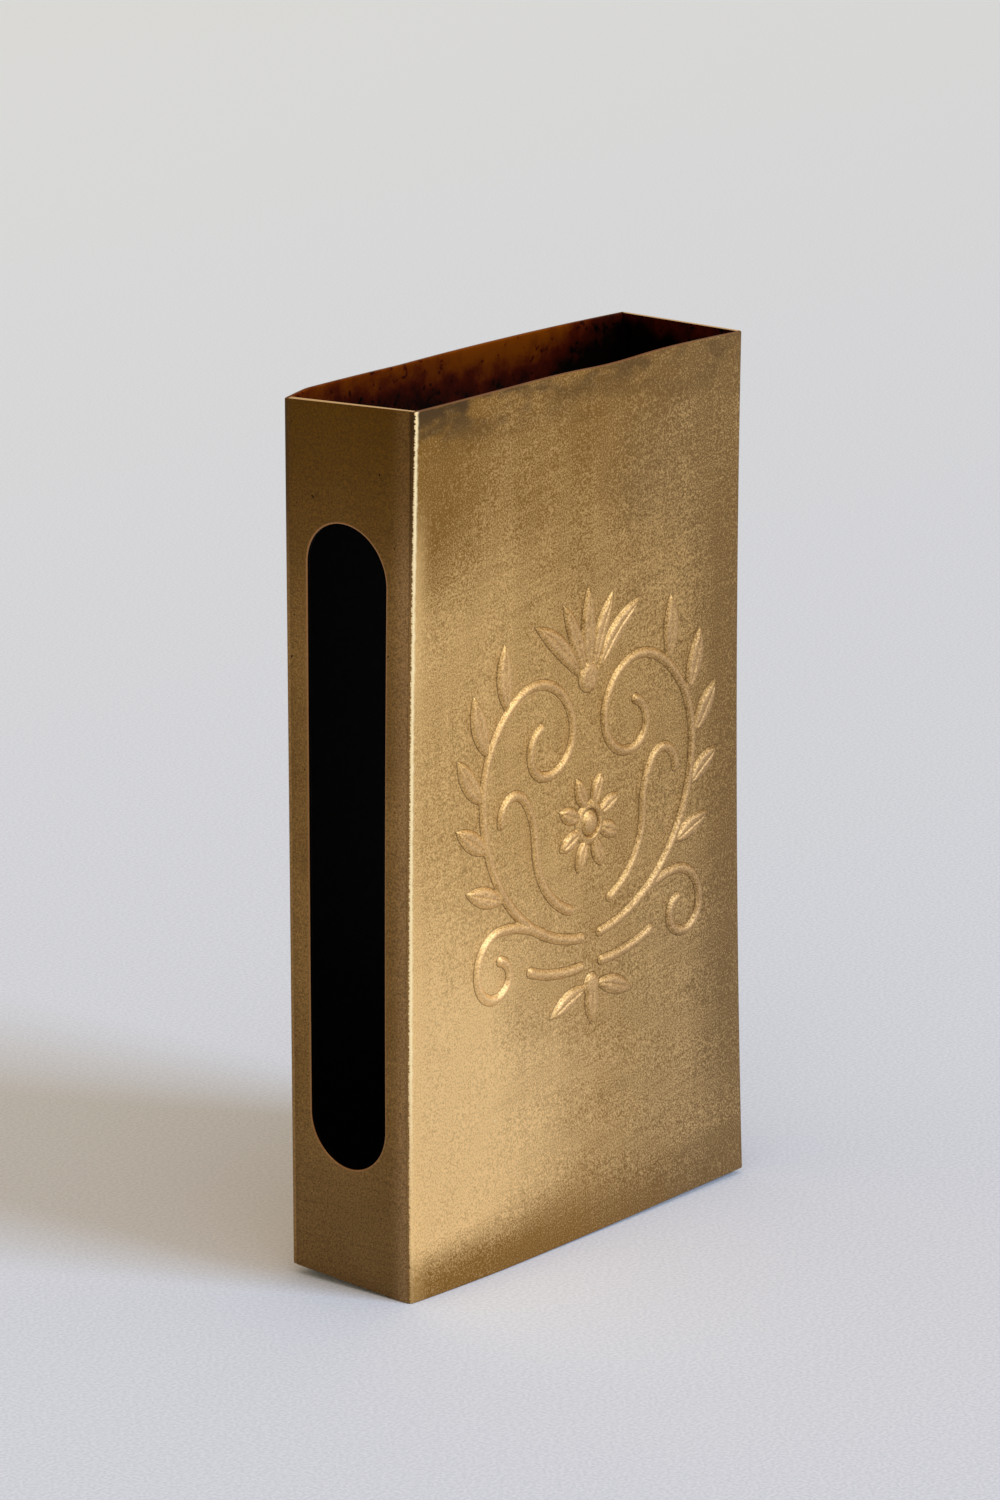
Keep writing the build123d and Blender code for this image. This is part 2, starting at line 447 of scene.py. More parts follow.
strips = []
for side_name, outside_x, inward in (("left", -width / 2, 1), ("right", width / 2, -1)):
    points, faces, values = strip(outside_x, inward)
    strips.append(add_piece(f"{side_name}_strip_brass", hand_shape(points), faces,
                            [f"{side_name}_side_strip"], "brass_sheet", **values))

# %% [markdown]
# ## Solder in the corners
#
# Silver solder runs into a corner as a thin, slightly lumpy fillet with a hollow face. A
# straight wedge would do, but it would look machined. Here a hollow profile is carried up the
# corner, and its leg swells and shrinks along the way by a sum of sines, which looks hand-run
# but gives the same result every time.

# %% Four lumpy seams
solder_leg = 0.5 * mm
solder_inset = 1 * mm
solder_rows = 160
bead_share = 0.9
long_wave = 2.3 * mm
long_swell = 0.16
short_wave = 0.9 * mm
short_swell = 0.1
taper_run = 2 * mm
least_taper = 0.02
tuck = 0.15


def seam(side_x, side_y, phase):
    """Seam skin: corner, hollow quarter circle and back, with the leg scaled by a sum of sines."""
    z = np.linspace(solder_inset, height - solder_inset, solder_rows)
    swell = (1 + long_swell * np.sin(z / long_wave + phase)
             + short_swell * np.sin(z / short_wave + 2 * phase))
    taper = np.sqrt(np.clip(np.minimum(z - z[0], z[-1] - z) / taper_run, least_taper, 1))
    angle = np.radians([0, 18, 36, 54, 72, 90])
    hollow = np.stack([1 - np.sin(angle), 1 - np.cos(angle)], -1)
    loop = np.concatenate([[[-tuck, -tuck], [1, -tuck]], hollow, [[-tuck, 1]]]) * solder_leg
    flat = loop[None] * (bead_share * swell * taper)[:, None, None]
    rows, count = flat.shape[:2]
    x = side_x * (width / 2 - wall - flat[..., 0])
    y = side_y * (depth / 2 - wall - flat[..., 1])
    points = np.dstack([x, y, np.broadcast_to(z[:, None], (rows, count))]).reshape(-1, 3)
    return points, tube_faces(rows, count)


seams = []
for side_name, side_x in (("left", -1), ("right", 1)):
    for face_name, side_y in (("front", -1), ("back", 1)):
        points, faces = seam(side_x, side_y, side_x + 2 * side_y)
        name = f"solder_{face_name}_{side_name}"
        seams.append(add_piece(f"{name}_bead", hand_shape(points), faces, [name], "solder"))

# %% [markdown]
# ## The scroll ornament
#
# The ornament's pieces are low chips of brass that melt softly into each other. Swept tubes
# would cross each other with hard creases, so each piece is a height field: over a fine grid
# on the front, the height is worked out from the distance to arcs, leaves and knots, and a
# soft maximum joins them. Where the height is above the plate the grid is kept, and a flat
# back inside the plate closes it. Lengths are shares of how far the ornament reaches.

# %% Distances to arcs and leaves
ornament_shift = 2 * mm
ornament_margin = 4.5 * mm
reach = width / 2 - ornament_shift - ornament_margin
band_half = 0.75 * mm


def arc_chain(start, heading, arcs):
    """Tangent arcs in order, each as centre, radius, first angle and turn, in shares of reach."""
    point = np.array(start)
    angle = radians(heading)
    chain = []
    for radius, turn_degrees in arcs:
        turn = radians(turn_degrees)
        sign = np.sign(turn)
        centre = point + sign * radius * np.array([-sin(angle), cos(angle)])
        first = angle - sign * np.pi / 2
        chain.append((centre, radius, first, turn))
        angle += turn
        point = centre + radius * np.array([cos(first + turn), sin(first + turn)])
    return chain


def band_depth(a, b, chain):
    """How far inside a band each point lies: half its width less the distance to the nearest arc.

    Past an arc's ends the distance to the end point counts, which gives the band round ends.
    """
    best = np.full(a.shape, np.inf)
    for centre, radius, first, turn in chain:
        along_x = a - centre[0]
        along_y = b - centre[1]
        swept = np.mod(np.sign(turn) * (np.arctan2(along_y, along_x) - first), 2 * np.pi)
        on_arc = np.abs(np.hypot(along_x, along_y) - radius)
        ends = [np.hypot(along_x - radius * cos(t), along_y - radius * sin(t))
                for t in (first, first + turn)]
        best = np.minimum(best, np.where(swept <= abs(turn), on_arc, np.minimum(*ends)))
    return band_half - best * reach


def leaf_depth(a, b, root, tip, left, right):
    """How far inside a leaf each point lies, and how far it is off the midrib.

    Each side is a circle through root and tip; the depth is the smaller of the two depths.
    """
    root = np.array(root)
    run = np.array(tip) - root
    chord = np.hypot(*run)
    normal = np.array([-run[1], run[0]]) / chord
    depths = []
    for swell, way in ((left, 1), (right, -1)):
        radius = (chord**2 / 4 + swell**2) / (2 * swell)
        centre = root + run / 2 - way * normal * (radius - swell)
        depths.append(radius - np.hypot(a - centre[0], b - centre[1]))
    return np.minimum(*depths) * reach, (depths[0] - depths[1]) * reach


print("ornament reaches", round(reach / mm, 1), "mm from its middle")

# %% From distances to heights
relief = 0.5 * mm
outer_fall = 1.2
softness = 0.05 * mm
leaf_edge = 0.8 * mm
groove_depth = 0.16 * mm
groove_half = 0.28 * mm


def dome(depth_in, edge, top):
    """Height of a soft dome: top times the sine of depth over edge, and a fall outside."""
    share = np.clip(depth_in / edge, 0, 1)
    return np.where(depth_in > 0, top * np.sin(share * np.pi / 2), outer_fall * depth_in)


def soft_max(heights):
    """Largest height with soft joints: softness times the log of the sum of exponentials."""
    stack = np.array(heights)
    peak = stack.max(0)
    return peak + softness * np.log(np.exp((stack - peak) / softness).sum(0))


def band_height(a, b, shape):
    """Round-backed band."""
    return dome(band_depth(a, b, arc_chain(*shape)), band_half, relief)


def leaf_height(a, b, shape, edge=leaf_edge):
    """Cushioned leaf with a fine groove, a bell curve across its midrib."""
    depth_in, off = leaf_depth(a, b, *shape)
    groove = groove_depth * np.exp(-(off / groove_half) ** 2) * np.clip(depth_in / edge, 0, 1)
    return dome(depth_in, edge, relief) - groove


def knot_height(a, b, centre, radius, edge, top):
    """Round knot: a dome over the distance in from its circle."""
    return dome((radius - np.hypot(a - centre[0], b - centre[1])) * reach, edge, top)


print("the ornament stands", relief / mm, "mm proud")

# %% From a height field to a chip of brass
pitch = 0.095 * mm
sink = 0.12 * mm


def chip(name, height_of, box, side=1):
    """Keep the grid squares where height_of is above the plate, and close them with a flat back.

    Side walls stand on each edge between a kept square and one that isn't. With side at -1 the
    shape is the mirror image.
    """
    low_a, low_b, high_a, high_b = np.array(box) * reach
    columns = int((high_a - low_a) / pitch) + 2
    rows = int((high_b - low_b) / pitch) + 2
    a, b = np.meshgrid(low_a + np.arange(columns) * pitch, low_b + np.arange(rows) * pitch)
    rise = height_of(side * a / reach, b / reach)
    above = rise > -sink / 2
    kept = above[:-1, :-1] | above[1:, :-1] | above[:-1, 1:] | above[1:, 1:]
    kept[[0, -1]] = False
    kept[:, [0, -1]] = False
    first = np.arange(rows * columns).reshape(rows, columns)
    quads = np.stack([first[:-1, :-1], first[:-1, 1:], first[1:, 1:], first[1:, :-1]], -1)
    under = rows * columns
    walls = []
    for axis, pair in ((0, (0, 1)), (1, (3, 0))):
        for way in (1, -1):
            empty_beside = kept & ~np.roll(kept, way, axis)
            chosen = pair if way == 1 else tuple((c + 2) % 4 for c in pair)
            edge = quads[empty_beside][:, list(chosen)]
            walls.append(np.column_stack([edge, edge[:, ::-1] + under]))
    faces = np.concatenate([quads[kept], quads[kept][:, ::-1] + under] + walls)
    face_y = -depth / 2
    top_y = face_y - np.maximum(rise, -sink / 2)
    top = np.stack([a + ornament_shift, top_y, b + height / 2], -1).reshape(-1, 3)
    bottom = top.copy()
    bottom[:, 1] = face_y + sink
    used, faces = np.unique(faces, return_inverse=True)
    points = np.concatenate([top, bottom])[used]
    lift = np.concatenate([rise.ravel(), np.full(under, -sink)])[used] / relief
    return add_piece(f"{name}_brass", hand_shape(points), faces.reshape(-1, 4), [name],
                     "brass_ornament", lift=lift)


print("grid squares are", round(pitch / mm, 3), "mm wide")

# %% [markdown]
# ### Scrolls, tendrils and sprigs
#
# Each half has a leafy scroll, a hooked tendril and a short sprig. They could be drawn by eye,
# but a band made of arcs that run smoothly into each other looks like a bent strip. So a band
# is given as where it starts, its heading, and the radius and turn of each arc, and a leaf as
# its root, its tip and the swell of either side. The left half mirrors the right one.

# %% Both halves of the ornament
stem = ((0.07, -0.62), 5, ((0.80, 85), (0.50, 62), (0.285, 100), (0.19, 120), (0.12, 150)))
volute = ((0.36, -0.535), 30, ((0.62, -30), (0.175, -110), (0.12, -120), (0.08, -120)))
tendril = ((0.15, -0.47), 20, ((0.40, 70), (0.36, -38), (0.10, -150)))
sprig = ((0.08, -0.76), -2, ((1.0, 14), (0.8, 10)))
stem_leaves = (
    ((0.64, -0.32), (0.93, -0.22), 0.055, 0.05),
    ((0.755, -0.07), (1.00, 0.09), 0.055, 0.05),
    ((0.80, 0.17), (0.99, 0.42), 0.05, 0.06),
    ((0.76, 0.38), (0.87, 0.70), 0.045, 0.07),
    ((0.62, 0.56), (0.64, 0.90), 0.045, 0.07),
)


def scroll_height(a, b):
    """The stem, the volute at its foot and the leaves along it."""
    bands = [band_height(a, b, stem), band_height(a, b, volute)]
    return soft_max(bands + [leaf_height(a, b, shape) for shape in stem_leaves])


def tendril_height(a, b):
    """The hooked tendril inside the stem."""
    return band_height(a, b, tendril)


def sprig_height(a, b):
    """The short sprig under the stem."""
    return band_height(a, b, sprig)


half_parts = (
    ("scroll", scroll_height, (0.0, -0.9, 1.05, 1.05)),
    ("tendril", tendril_height, (0.0, -0.6, 0.8, 0.5)),
    ("sprig", sprig_height, (0.0, -0.9, 0.6, -0.6)),
)
ornament = []
for side_name, side in (("left", -1), ("right", 1)):
    for part_name, height_of, span in half_parts:
        box = span if side == 1 else (-span[2], span[1], -span[0], span[3])
        ornament.append(chip(f"{side_name}_{part_name}", height_of, box, side))

# %% [markdown]
# ### Crown, drop and rosette
#
# The pieces on the middle line are leaves that spring from a knot, and an eight-petalled
# rosette with a round boss seated in it. The petals could be eight leaves side by side. It is
# simpler to fold the angle round the middle into one eighth of a turn and to draw one petal.

# %% Pieces on the middle line
crown_place = (0, 0.62)
crown_spike = (crown_place, (0, 1.06), 0.055, 0.055)
crown_leaves = (((0.03, 0.62), (0.20, 1.00), 0.07, 0.03), ((0.05, 0.61), (0.42, 0.93), 0.085, 0.02))
drop_spike = ((0, -0.82), (0, -1.06), 0.05, 0.05)
drop_leaf = ((0.03, -0.86), (0.32, -0.96), 0.06, 0.04)
petal_shape = ((0.07, 0), (0.25, 0), 0.045, 0.045)
petal_edge = 0.7 * mm
rosette_place = (0, -0.08)
knot_top = 1.1 * relief
seat_radius = 1.75 * mm
seat_slope = 1.5
boss_radius = 1.7 * mm


def crown_height(a, b):
    """Five leaves that spring from one knot."""
    leaves = [leaf_height(abs(a), b, shape) for shape in crown_leaves]
    leaves.append(leaf_height(a, b, crown_spike))
    return soft_max(leaves + [knot_height(a, b, crown_place, 0.08, 1.2 * mm, knot_top)])


def drop_height(a, b):
    """Three leaves that hang from one knot."""
    leaves = [leaf_height(a, b, drop_spike), leaf_height(abs(a), b, drop_leaf)]
    return soft_max(leaves + [knot_height(a, b, (0, -0.86), 0.06, 1 * mm, knot_top)])


def rosette_height(a, b):
    """Eight petals round a disc, with the boss's seat hollowed out of it."""
    b_up = b - rosette_place[1]
    angle = np.mod(np.arctan2(b_up, a), np.pi / 4) - np.pi / 8
    out = np.hypot(a, b_up)
    petal = leaf_height(out * np.cos(angle), out * np.sin(angle), petal_shape, petal_edge)
    disc = knot_height(a, b, rosette_place, 0.11, 0.8 * mm, 0.8 * relief)
    return np.minimum(soft_max([petal, disc]), (out * reach - seat_radius) * seat_slope)


def boss_height(a, b):
    """The round boss in the rosette's seat."""
    return knot_height(a, b, rosette_place, boss_radius / reach, 1.5 * mm, 1.35 * relief)


ornament.append(chip("crown", crown_height, (-0.5, 0.45, 0.5, 1.12)))
ornament.append(chip("drop", drop_height, (-0.4, -1.12, 0.4, -0.75)))
ornament.append(chip("rosette", rosette_height, (-0.3, -0.38, 0.3, 0.22)))
ornament.append(chip("rosette_boss", boss_height, (-0.1, -0.18, 0.1, 0.02)))

# %% [markdown]
# ## Old satin brass
#
# Old brass isn't one colour. It is a warm gold dulled by a brown film that gathers where
# fingers don't reach, with a fine grain from the finishing wheel. It could be painted on, but
# paint needs an unwrapped skin and shows its seams. Here all of it comes from noise on Object
# coordinates, turned into millimetres, so the grain keeps its size on each piece.

# %% Small helpers for shader nodes
def node(tree, kind, inputs, **settings):
    """Add a shader node, set its settings, and link or fill its inputs."""
    made = tree.nodes.new("ShaderNode" + kind)
    for key, value in settings.items():
        setattr(made, key, value)
    for key, value in inputs.items():
        if isinstance(value, bpy.types.NodeSocket):
            tree.links.new(value, made.inputs[key])
        else:
            made.inputs[key].default_value = value
    return made


def calc(tree, operation, first, second):
    """One arithmetic step."""
    return node(tree, "Math", {0: first, 1: second}, operation=operation).outputs[0]


def plus(tree, first, second):
    """Sum of two values."""
    return calc(tree, "ADD", first, second)


def times(tree, first, second):
    """Product of two values."""
    return calc(tree, "MULTIPLY", first, second)


def fade(tree, value, start, end, low=0.0, high=1.0):
    """Smooth step from low to high while value goes from start to end."""
    inputs = {"Value": value, "From Min": start, "From Max": end, "To Min": low, "To Max": high}
    return node(tree, "MapRange", inputs, interpolation_type="SMOOTHSTEP").outputs[0]


def mix(tree, share, first, second, way="MIX"):
    """Mix two colours."""
    inputs = {0: share, 6: first, 7: second}
    return node(tree, "Mix", inputs, data_type="RGBA", blend_type=way).outputs[2]


def noise(tree, place, scale, detail=2.0, stretch=(1, 1, 1), rough=0.5):
    """Cloudy noise from 0 to 1; scale is in grains per millimetre before the stretch."""
    mapped = node(tree, "Mapping", {"Vector": place, "Scale": stretch}, vector_type="POINT")
    inputs = {"Vector": mapped.outputs[0], "Scale": scale, "Detail": detail, "Roughness": rough}
    return node(tree, "TexNoise", inputs).outputs["Fac"]


def wheel_grain(tree, place, stretch=(1, 1, 1)):
    """Grain of the finishing wheel, about a quarter of a millimetre across."""
    return noise(tree, place, 4.4, 2.5, stretch, 0.75)


def axes(tree, place):
    """X, Y and Z of a place."""
    return node(tree, "SeparateXYZ", {0: place}).outputs


def stored(tree, name):
    """A value that add_piece stored on the points."""
    return node(tree, "Attribute", {}, attribute_name=name).outputs["Fac"]


print("shader helpers are ready")

# %% Starting and ending a finish
def start_finish(name):
    """New metal material with its tree, its shader and the place on the object in millimetres."""
    material = bpy.data.materials.new(name)
    material.use_nodes = True
    tree = material.node_tree
    shader = tree.nodes["Principled BSDF"]
    shader.inputs["Metallic"].default_value = 1.0
    spot = node(tree, "TexCoord", {}).outputs["Object"]
    in_mm = {0: spot, 1: (1 / mm, 1 / mm, 1 / mm)}
    place = node(tree, "VectorMath", in_mm, operation="MULTIPLY").outputs[0]
    return material, tree, shader, place


def finish_surface(tree, shader, colour, roughness, grain, strength):
    """Send colour, roughness and the grain's bump to the shader."""
    tree.links.new(colour, shader.inputs["Base Color"])
    tree.links.new(roughness, shader.inputs["Roughness"])
    inputs = {"Height": grain, "Strength": strength, "Distance": 0.03 * mm}
    tree.links.new(node(tree, "Bump", inputs).outputs[0], shader.inputs["Normal"])


bare_brass = (1.0, 0.668, 0.272, 1)
# Pale brass for rubbed specks, and for the painted highlight on the near corner of the cut edge.
rubbed_and_highlight_brass = (1.0, 0.84, 0.5, 1)
# Plum brown: stains below the rim, and patina with painted shade at the ornament's foot.
plum_stain_and_shade = (0.09, 0.05, 0.019, 1)
# Nearly black: dark pits in the strips, and painted shade deep inside the sleeve and on the solder.
black_tarnish_and_shade = (0.004, 0.002, 0.001, 1)
rim_level = height / mm
print("bare brass", bare_brass[:3], "black tarnish", black_tarnish_and_shade[:3])

# %% [markdown]
# ### Where the film and painted shade lie
#
# The brown film is the metal's own, but its amount also carries painted light and shade. There
# is more of it towards the upper rim. Painted shade adds more towards the right edge, and at the
# foot, where the metal reflects the floor's contact shadow. Across the whole front it grows from
# left to right as painted shade. The lower left is nearly bare, worn where a thumb holds the
# sleeve to push the matchbox out, and made brighter still as a painted sheen. One cloudy noise
# would spread it evenly, which is wrong for worn metal. So the amount of film is a sum of soft
# steps across and up the front, made uneven by noise, and the plate and the ornament on it share
# one pattern. Distances are in millimetres.

# %% Amount of film on the front
def film_and_shade_amount(tree, place):
    """0 for bare brass, 1 for full brown patina with painted shade: soft steps in X and Z, brush
    lines and speckle, and a painted sheen at the lower left.
    """
    drift = times(tree, calc(tree, "SUBTRACT", noise(tree, place, 0.06, 4.0), 0.5), 26.0)
    across, _, z = axes(tree, place)
    x = plus(tree, across, drift)
    # Film and painted shade along the right edge, where it rolls away from the light.
    right_edge_film_and_shade = fade(tree, plus(tree, across, times(tree, drift, 0.15)), 19.0, 33.5, 0.0, 0.36)
    right_edge_film_and_shade = times(tree, right_edge_film_and_shade, fade(tree, z, 104.0, 82.0, 0.1, 1.0))
    right_edge_film_and_shade = times(tree, right_edge_film_and_shade, fade(tree, z, 6.0, 26.0, 0.5, 1.0))
    upper = fade(tree, plus(tree, z, drift), 79.0, 112.0, 0.0, 0.34)
    # Painted shade at the foot, where the metal reflects the floor's contact shadow.
    foot = fade(tree, plus(tree, z, times(tree, drift, 0.2)), 11.5, 0.0)
    turn = {"Vector": place, "Angle": radians(9)}
    rising = node(tree, "VectorRotate", turn, rotation_type="Y_AXIS").outputs[0]
    rising_lines = noise(tree, rising, 1.5, 2.0, (0.06, 1, 1.4))
    upright_lines = noise(tree, place, 0.5, 3.0, (1.6, 1, 0.05))
    steps = [
        # Painted shade: more film from left to right, as the light falls off across the front.
        fade(tree, x, -28.0, 22.0, 0.45, 0.68),
        right_edge_film_and_shade,
        times(tree, fade(tree, z, 103.0, 111.0), fade(tree, x, 6.0, 24.0, 0.0, 0.4)),
        fade(tree, rising_lines, 0.3, 0.7, -0.05, 0.05),
        times(tree, upper, fade(tree, x, 5.0, 28.0, 1.0, 0.6)),
        times(tree, foot, fade(tree, x, -25.0, 10.0, 0.68, 0.35)),
        fade(tree, upright_lines, 0.35, 0.7, 0.03, -0.03),
    ]
    # Bare patch at the lower left: wear, made brighter still as a painted sheen.
    thumb_wear_and_sheen = times(tree, fade(tree, x, 4.0, -33.0), fade(tree, z, 62.0, 22.0))
    thumb_wear_and_sheen = times(tree, thumb_wear_and_sheen, fade(tree, z, 0.0, 9.0))
    upper_left = times(tree, fade(tree, x, -12.0, -28.0), fade(tree, z, 82.0, 104.0))
    total = calc(tree, "SUBTRACT", times(tree, upper_left, 0.52), times(tree, thumb_wear_and_sheen, 0.62))
    for step in steps:
        total = plus(tree, total, step)
    smooth = node(tree, "Clamp", {"Value": total, "Min": 0.10, "Max": 1.0}).outputs[0]
    speckle = fade(tree, wheel_grain(tree, place), 0.28, 0.72, -1.0, 1.0)
    speckle = times(tree, speckle, fade(tree, smooth, 0.1, 0.45, 0.42, 0.40))
    return plus(tree, smooth, speckle), x, z


brown_film = (0.29, 0.141, 0.022, 1)
grey_film = (0.25, 0.14, 0.045, 1)
floor_reflection_tint = (1.0, 1.04, 1.18, 1)


def film_and_painted_light_colour(tree, film_and_shade, x, z):
    """Bare brass under a patina: brown on the left, greyer on the right, and paler and bluer low
    down as a painted reflection of the floor.
    """
    film_tone = mix(tree, fade(tree, x, -5.0, 30.0), brown_film, grey_film)
    colour = mix(tree, film_and_shade, bare_brass, film_tone)
    # Painted reflection of the pale floor: paler and bluer low down.
    paler = mix(tree, 1.0, colour, floor_reflection_tint, "MULTIPLY")
    return mix(tree, fade(tree, z, 64.0, 20.0), colour, paler)


print("film goes from", brown_film[:3], "to", grey_film[:3])

# %% [markdown]
# ### Tarnish and painted shade inside
#
# Nobody polishes the inside of a sleeve. It goes amber just below the rim, then red, then
# black: the amber and red are tarnish, and the darkening through red to black with depth is
# painted shade. A separate inner piece could carry this finish, but plates and strips are one
# sheet, so the points of their inner faces carry a value, and the finish changes where it is 1.

# %% Amber, red and black, with painted shade
amber_tarnish = (0.25, 0.057, 0.001, 1)
red_tarnish = (0.10, 0.009, 0.002, 1)


def tarnish_and_shade_inside(tree, place, colour, roughness):
    """Amber tarnish below the rim, turning through red to black as painted shade further down and
    at the right end.

    The shade is a sum of soft steps down and across, broad clouds and small dark spots.
    """
    inside = stored(tree, "inside")
    x, _, z = axes(tree, place)
    # Painted shade inside the sleeve: darker with depth below the rim and towards both ends.
    steps = [
        fade(tree, z, rim_level, rim_level - 6.5, 0.0, 0.46),
        fade(tree, z, rim_level - 6, rim_level - 14, 0.0, 0.8),
        fade(tree, x, 14.0, 28.0, 0.0, 0.42),
        fade(tree, x, 4.0, -14.0, 0.0, 0.2),
        fade(tree, noise(tree, place, 1.0, 2.0), 0.6, 0.72, 0.0, 0.25),
    ]
    shade = times(tree, noise(tree, place, 0.35, 6.0, rough=0.6), 0.75)
    for step in steps:
        shade = plus(tree, shade, step)
    dark = mix(tree, fade(tree, shade, 0.36, 0.78), amber_tarnish, red_tarnish)
    dark = mix(tree, fade(tree, shade, 0.62, 1.05), dark, black_tarnish_and_shade)
    roughness = calc(tree, "MAXIMUM", roughness, times(tree, inside, 0.6))
    return mix(tree, inside, colour, dark), roughness


print("tarnish starts", amber_tarnish[:3], "and turns", red_tarnish[:3])

# %% [markdown]
# ### The plates' edges
#
# Edges tell how a thing was used. Plum stains lie under the upper rim, a glow along the near
# edge is rubbing brightened by a painted highlight, and the sheet's own cut edge carries a
# painted highlight over its wear in front and is brown behind. A Bevel node or Pointiness could
# find the edges, but both spread the same wear over all of them. The stored distances to the
# left edge and into the sheet let each one differ.

# %% Stains, rubbing with painted highlights, and cut edges
edge_brown = (0.36, 0.2, 0.066, 1)
edge_film = (0.09, 0.045, 0.014, 1)
edge_speck = (0.06, 0.03, 0.01, 1)
rim_copper = (0.30, 0.15, 0.065, 1)


def stain_below_rim(tree, place, x, z, colour):
    """Plum smudges that fade out 8 mm below the rim, strongest at the left."""
    smudge = fade(tree, noise(tree, place, 0.16, 4.0, (1, 1, 2.5)), 0.38, 0.60)
    stain = times(tree, fade(tree, z, rim_level - 8, rim_level), smudge)
    stain = times(tree, stain, fade(tree, x, 0.0, -24.0, 0.62, 0.95))
    return mix(tree, stain, colour, plum_stain_and_shade), stain


def near_edge_rub_and_highlight(tree, z, from_left, colour):
    """Glow of rubbing and a painted highlight that fades over the first 4 mm from the left edge,
    strongest high up.
    """
    # Painted highlight along the near edge, added to its rubbing.
    rub_and_highlight = fade(tree, from_left, 4.0, 0.8, 0.0, 0.55)
    rub_and_highlight = times(tree, rub_and_highlight, fade(tree, z, 103.0, 92.0))
    rub_and_highlight = times(tree, rub_and_highlight, fade(tree, z, 70.0, 84.0, 0.4, 1.0))
    return mix(tree, rub_and_highlight, colour, bare_brass)


def cut_edge(tree, place, z, from_left, grain, colour):
    """The sheet's cut edge: bright at its front corner from wear and a painted highlight, dull and
    brown behind it.
    """
    file_marks = noise(tree, place, 2.2, 2.0, (1, 1, 2.2))
    wander = fade(tree, file_marks, 0.3, 0.7, -0.12, 0.12)
    sheet_depth = plus(tree, stored(tree, "sheet_depth"), wander)
    outer_edge = fade(tree, from_left, 1.0, 0.5)
    # Painted highlight on the cut edge's front corner, over its wear.
    worn_and_highlight = times(tree, outer_edge, fade(tree, sheet_depth, 0.34, 0.16))
    worn_and_highlight = times(tree, worn_and_highlight, fade(tree, z, 10.0, 34.0, 0.1, 1.0))
    colour = mix(tree, worn_and_highlight, colour, rubbed_and_highlight_brass)
    dull = times(tree, outer_edge, fade(tree, sheet_depth, 0.2, 0.4))
    dull_colour = mix(tree, fade(tree, z, 82.0, 101.0), edge_brown, edge_film)
    dull_colour = mix(tree, fade(tree, grain, 0.3, 0.7, 0.0, 0.7), dull_colour, edge_speck)
    return mix(tree, times(tree, dull, 0.92), colour, dull_colour), worn_and_highlight


print("edges go from", edge_brown[:3], "to", edge_film[:3])

# %% Satin front and back plates
def satin_brass(name):
    """Fine satin grain under an uneven patina with painted shade, plum stains below the rim, and a
    near edge brightened by rubbing and a painted highlight.
    """
    material, tree, shader, place = start_finish(name)
    film_and_shade, x, z = film_and_shade_amount(tree, place)
    colour = film_and_painted_light_colour(tree, film_and_shade, x, z)
    colour, stain = stain_below_rim(tree, place, x, z, colour)
    flake = fade(tree, noise(tree, place, 0.9, 1.0), 0.80, 0.83, 0.0, 0.8)
    colour = mix(tree, flake, colour, rubbed_and_highlight_brass)
    ragged = times(tree, noise(tree, place, 1.2, 3.0), 0.5)
    from_left = plus(tree, stored(tree, "from_left"), ragged)
    colour = near_edge_rub_and_highlight(tree, z, from_left, colour)
    grain = wheel_grain(tree, place)
    colour, worn_and_highlight = cut_edge(tree, place, z, from_left, grain, colour)
    colour = mix(tree, times(tree, stored(tree, "rim"), 0.85), colour, rim_copper)
    roughness = plus(tree, fade(tree, film_and_shade, 0.0, 1.0, 0.5, 0.46), times(tree, stain, 0.12))
    roughness = plus(tree, roughness, times(tree, worn_and_highlight, 0.18))
    colour, roughness = tarnish_and_shade_inside(tree, place, colour, roughness)
    finish_surface(tree, shader, colour, roughness, grain, 0.8)
    return material


plate_finish = satin_brass("satin_brass")
for piece in (front_plate, back_plate):
    piece.data.materials.append(plate_finish)
print("plates finished with", len(plate_finish.node_tree.nodes), "nodes")

# %% [markdown]
# ### Brushed strips
#
# The narrow sides are darker and browner than the front, and were brushed across. Anisotropic
# reflection could show the brushing, but the lines are coarse enough to see. So they are noise
# drawn out along Y, with a painted highlight beside the near edge, dark pits, and copper on the
# window's lip.

# %% Brushed brass
strip_gold = (0.375, 0.205, 0.06, 1)
strip_brown = (0.28, 0.15, 0.041, 1)
strip_top = (0.13, 0.053, 0.001, 1)
strip_foot = (0.26, 0.148, 0.052, 1)
brush_dark = (0.07, 0.036, 0.012, 1)
near_edge_highlight = (0.64, 0.38, 0.17, 1)
far_brown = (0.09, 0.045, 0.015, 1)
strip_speck = (0.045, 0.022, 0.007, 1)
seam_brown = (0.06, 0.03, 0.012, 1)
copper_lip = (0.42, 0.21, 0.09, 1)
rim_gold = (0.85, 0.62, 0.34, 1)


